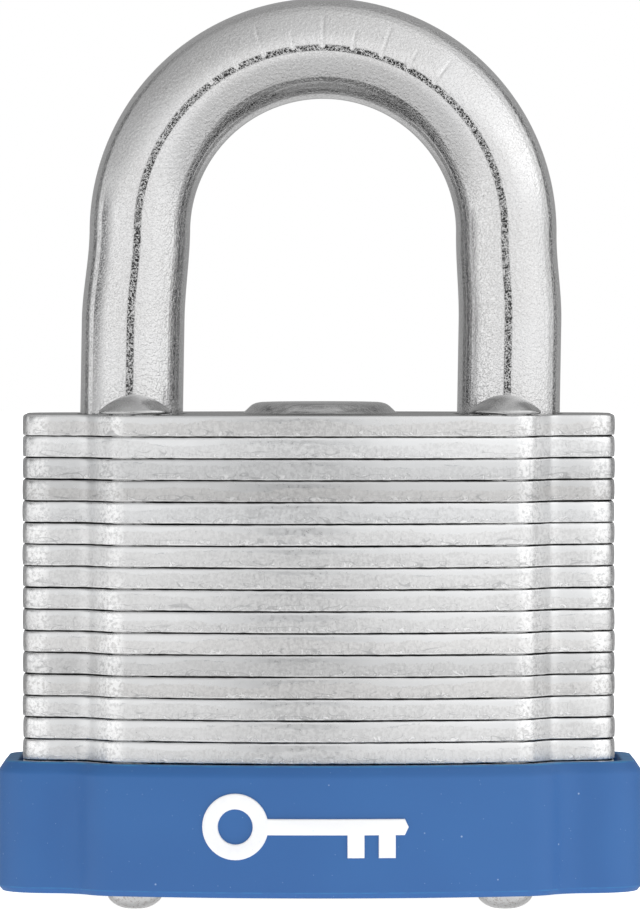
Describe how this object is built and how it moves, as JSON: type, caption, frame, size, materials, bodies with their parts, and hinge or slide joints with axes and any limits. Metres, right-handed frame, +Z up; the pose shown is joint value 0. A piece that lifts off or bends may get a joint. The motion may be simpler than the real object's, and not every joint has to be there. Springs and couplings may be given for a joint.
{
  "type": "laminated padlock",
  "caption": "Keyed laminated padlock: a riveted stack of stamped steel plates with a plastic bumper round its foot, a pin cylinder, sprung dogs and a lifting steel shackle.",
  "frame": {"origin": "centre of the footprint, level with the undersides of the four lower rivet heads", "axes": "+Z up along the shackle's legs, +X from the heel leg to the toe leg, +Y towards the cylinder's pin row (the back)"},
  "size_m": [0.05, 0.0286, 0.0705],
  "materials": {
    "plates": "satin stamped steel with sheared, vertically marked edges",
    "rivets": "satin, lightly mottled rivet heads",
    "shackle": "bright zinc plating with a fine grain",
    "bumper": "satin blue moulded plastic",
    "cylinder": "machined brass",
    "pins": "turned brass",
    "springs": "drawn spring wire",
    "latch": "hardened steel"
  },
  "bodies": {
    "lock_body": {"bottom_plate": "plates", "plate_02": "plates", "plate_03": "plates", "plate_04": "plates", "plate_05": "plates", "plate_06": "plates", "plate_07": "plates", "plate_08": "plates", "plate_09": "plates", "plate_10": "plates", "plate_11": "plates", "plate_12": "plates", "plate_13": "plates", "plate_14": "plates", "plate_15": "plates", "plate_16": "plates", "plate_17": "plates", "plate_18": "plates", "plate_19": "plates", "plate_20": "plates", "plate_21": "plates", "top_plate": "plates", "rivet_front_left": "rivets", "rivet_front_right": "rivets", "rivet_back_left": "rivets", "rivet_back_right": "rivets", "bumper": "bumper", "cylinder_housing": "cylinder", "pin_chamber_cover": "cylinder", "heel_clip": "latch", "shackle_spring": "springs", "pin_spring_1": "springs", "pin_spring_2": "springs", "pin_spring_3": "springs", "pin_spring_4": "springs", "pin_spring_5": "springs"},
    "shackle": {"shackle": "shackle"},
    "plug": {"plug": "cylinder", "plug_clip": "latch", "cam_spindle": "latch"},
    "dog_right": {"dog_right": "latch", "dog_spring_right": "springs"},
    "dog_left": {"dog_left": "latch", "dog_spring_left": "springs"},
    "key_pin_1": {"key_pin_1": "pins"},
    "key_pin_2": {"key_pin_2": "pins"},
    "key_pin_3": {"key_pin_3": "pins"},
    "key_pin_4": {"key_pin_4": "pins"},
    "key_pin_5": {"key_pin_5": "pins"},
    "driver_pin_1": {"driver_pin_1": "pins"},
    "driver_pin_2": {"driver_pin_2": "pins"},
    "driver_pin_3": {"driver_pin_3": "pins"},
    "driver_pin_4": {"driver_pin_4": "pins"},
    "driver_pin_5": {"driver_pin_5": "pins"}
  },
  "joints": [
    {"name": "plug_turn", "type": "hinge", "parent": "lock_body", "child": "plug", "pos_m": [0, 0, 0.01], "axis": [0, 0, 1], "range_deg": [-90, 0]},
    {"name": "dog_right_slide", "type": "slide", "parent": "lock_body", "child": "dog_right", "axis": [1, 0, 0], "range_m": [0, 0.00181], "deforming": ["dog_spring_right"]},
    {"name": "dog_left_slide", "type": "slide", "parent": "lock_body", "child": "dog_left", "axis": [-1, 0, 0], "range_m": [0, 0.00181], "deforming": ["dog_spring_left"]},
    {"name": "shackle_lift", "type": "slide", "parent": "lock_body", "child": "shackle", "axis": [0, 0, 1], "range_m": [0, 0.0138], "deforming": ["shackle_spring"]},
    {"name": "key_pin_1_drop", "type": "slide", "parent": "plug", "child": "key_pin_1", "axis": [1, 0, 0], "range_m": [0, 0.00132]},
    {"name": "key_pin_2_drop", "type": "slide", "parent": "plug", "child": "key_pin_2", "axis": [1, 0, 0], "range_m": [0, 0.00192]},
    {"name": "key_pin_3_drop", "type": "slide", "parent": "plug", "child": "key_pin_3", "axis": [1, 0, 0], "range_m": [0, 0.00092]},
    {"name": "key_pin_4_drop", "type": "slide", "parent": "plug", "child": "key_pin_4", "axis": [1, 0, 0], "range_m": [0, 0.00162]},
    {"name": "key_pin_5_drop", "type": "slide", "parent": "plug", "child": "key_pin_5", "axis": [1, 0, 0], "range_m": [0, 0.00112]},
    {"name": "driver_pin_1_lift", "type": "slide", "parent": "lock_body", "child": "driver_pin_1", "axis": [0, 1, 0], "range_m": [0, 0.0016], "stiffness_N_per_m": 60, "springref_m": -0.002, "deforming": ["pin_spring_1"]},
    {"name": "driver_pin_2_lift", "type": "slide", "parent": "lock_body", "child": "driver_pin_2", "axis": [0, 1, 0], "range_m": [0, 0.0016], "stiffness_N_per_m": 60, "springref_m": -0.002, "deforming": ["pin_spring_2"]},
    {"name": "driver_pin_3_lift", "type": "slide", "parent": "lock_body", "child": "driver_pin_3", "axis": [0, 1, 0], "range_m": [0, 0.0016], "stiffness_N_per_m": 60, "springref_m": -0.002, "deforming": ["pin_spring_3"]},
    {"name": "driver_pin_4_lift", "type": "slide", "parent": "lock_body", "child": "driver_pin_4", "axis": [0, 1, 0], "range_m": [0, 0.0016], "stiffness_N_per_m": 60, "springref_m": -0.002, "deforming": ["pin_spring_4"]},
    {"name": "driver_pin_5_lift", "type": "slide", "parent": "lock_body", "child": "driver_pin_5", "axis": [0, 1, 0], "range_m": [0, 0.0016], "stiffness_N_per_m": 60, "springref_m": -0.002, "deforming": ["pin_spring_5"]}
  ],
  "couplings": [
    {"joint": "dog_right_slide", "follows": "plug_turn", "m_per_rad": -0.0011459},
    {"joint": "dog_left_slide", "follows": "plug_turn", "m_per_rad": -0.0011459}
  ]
}
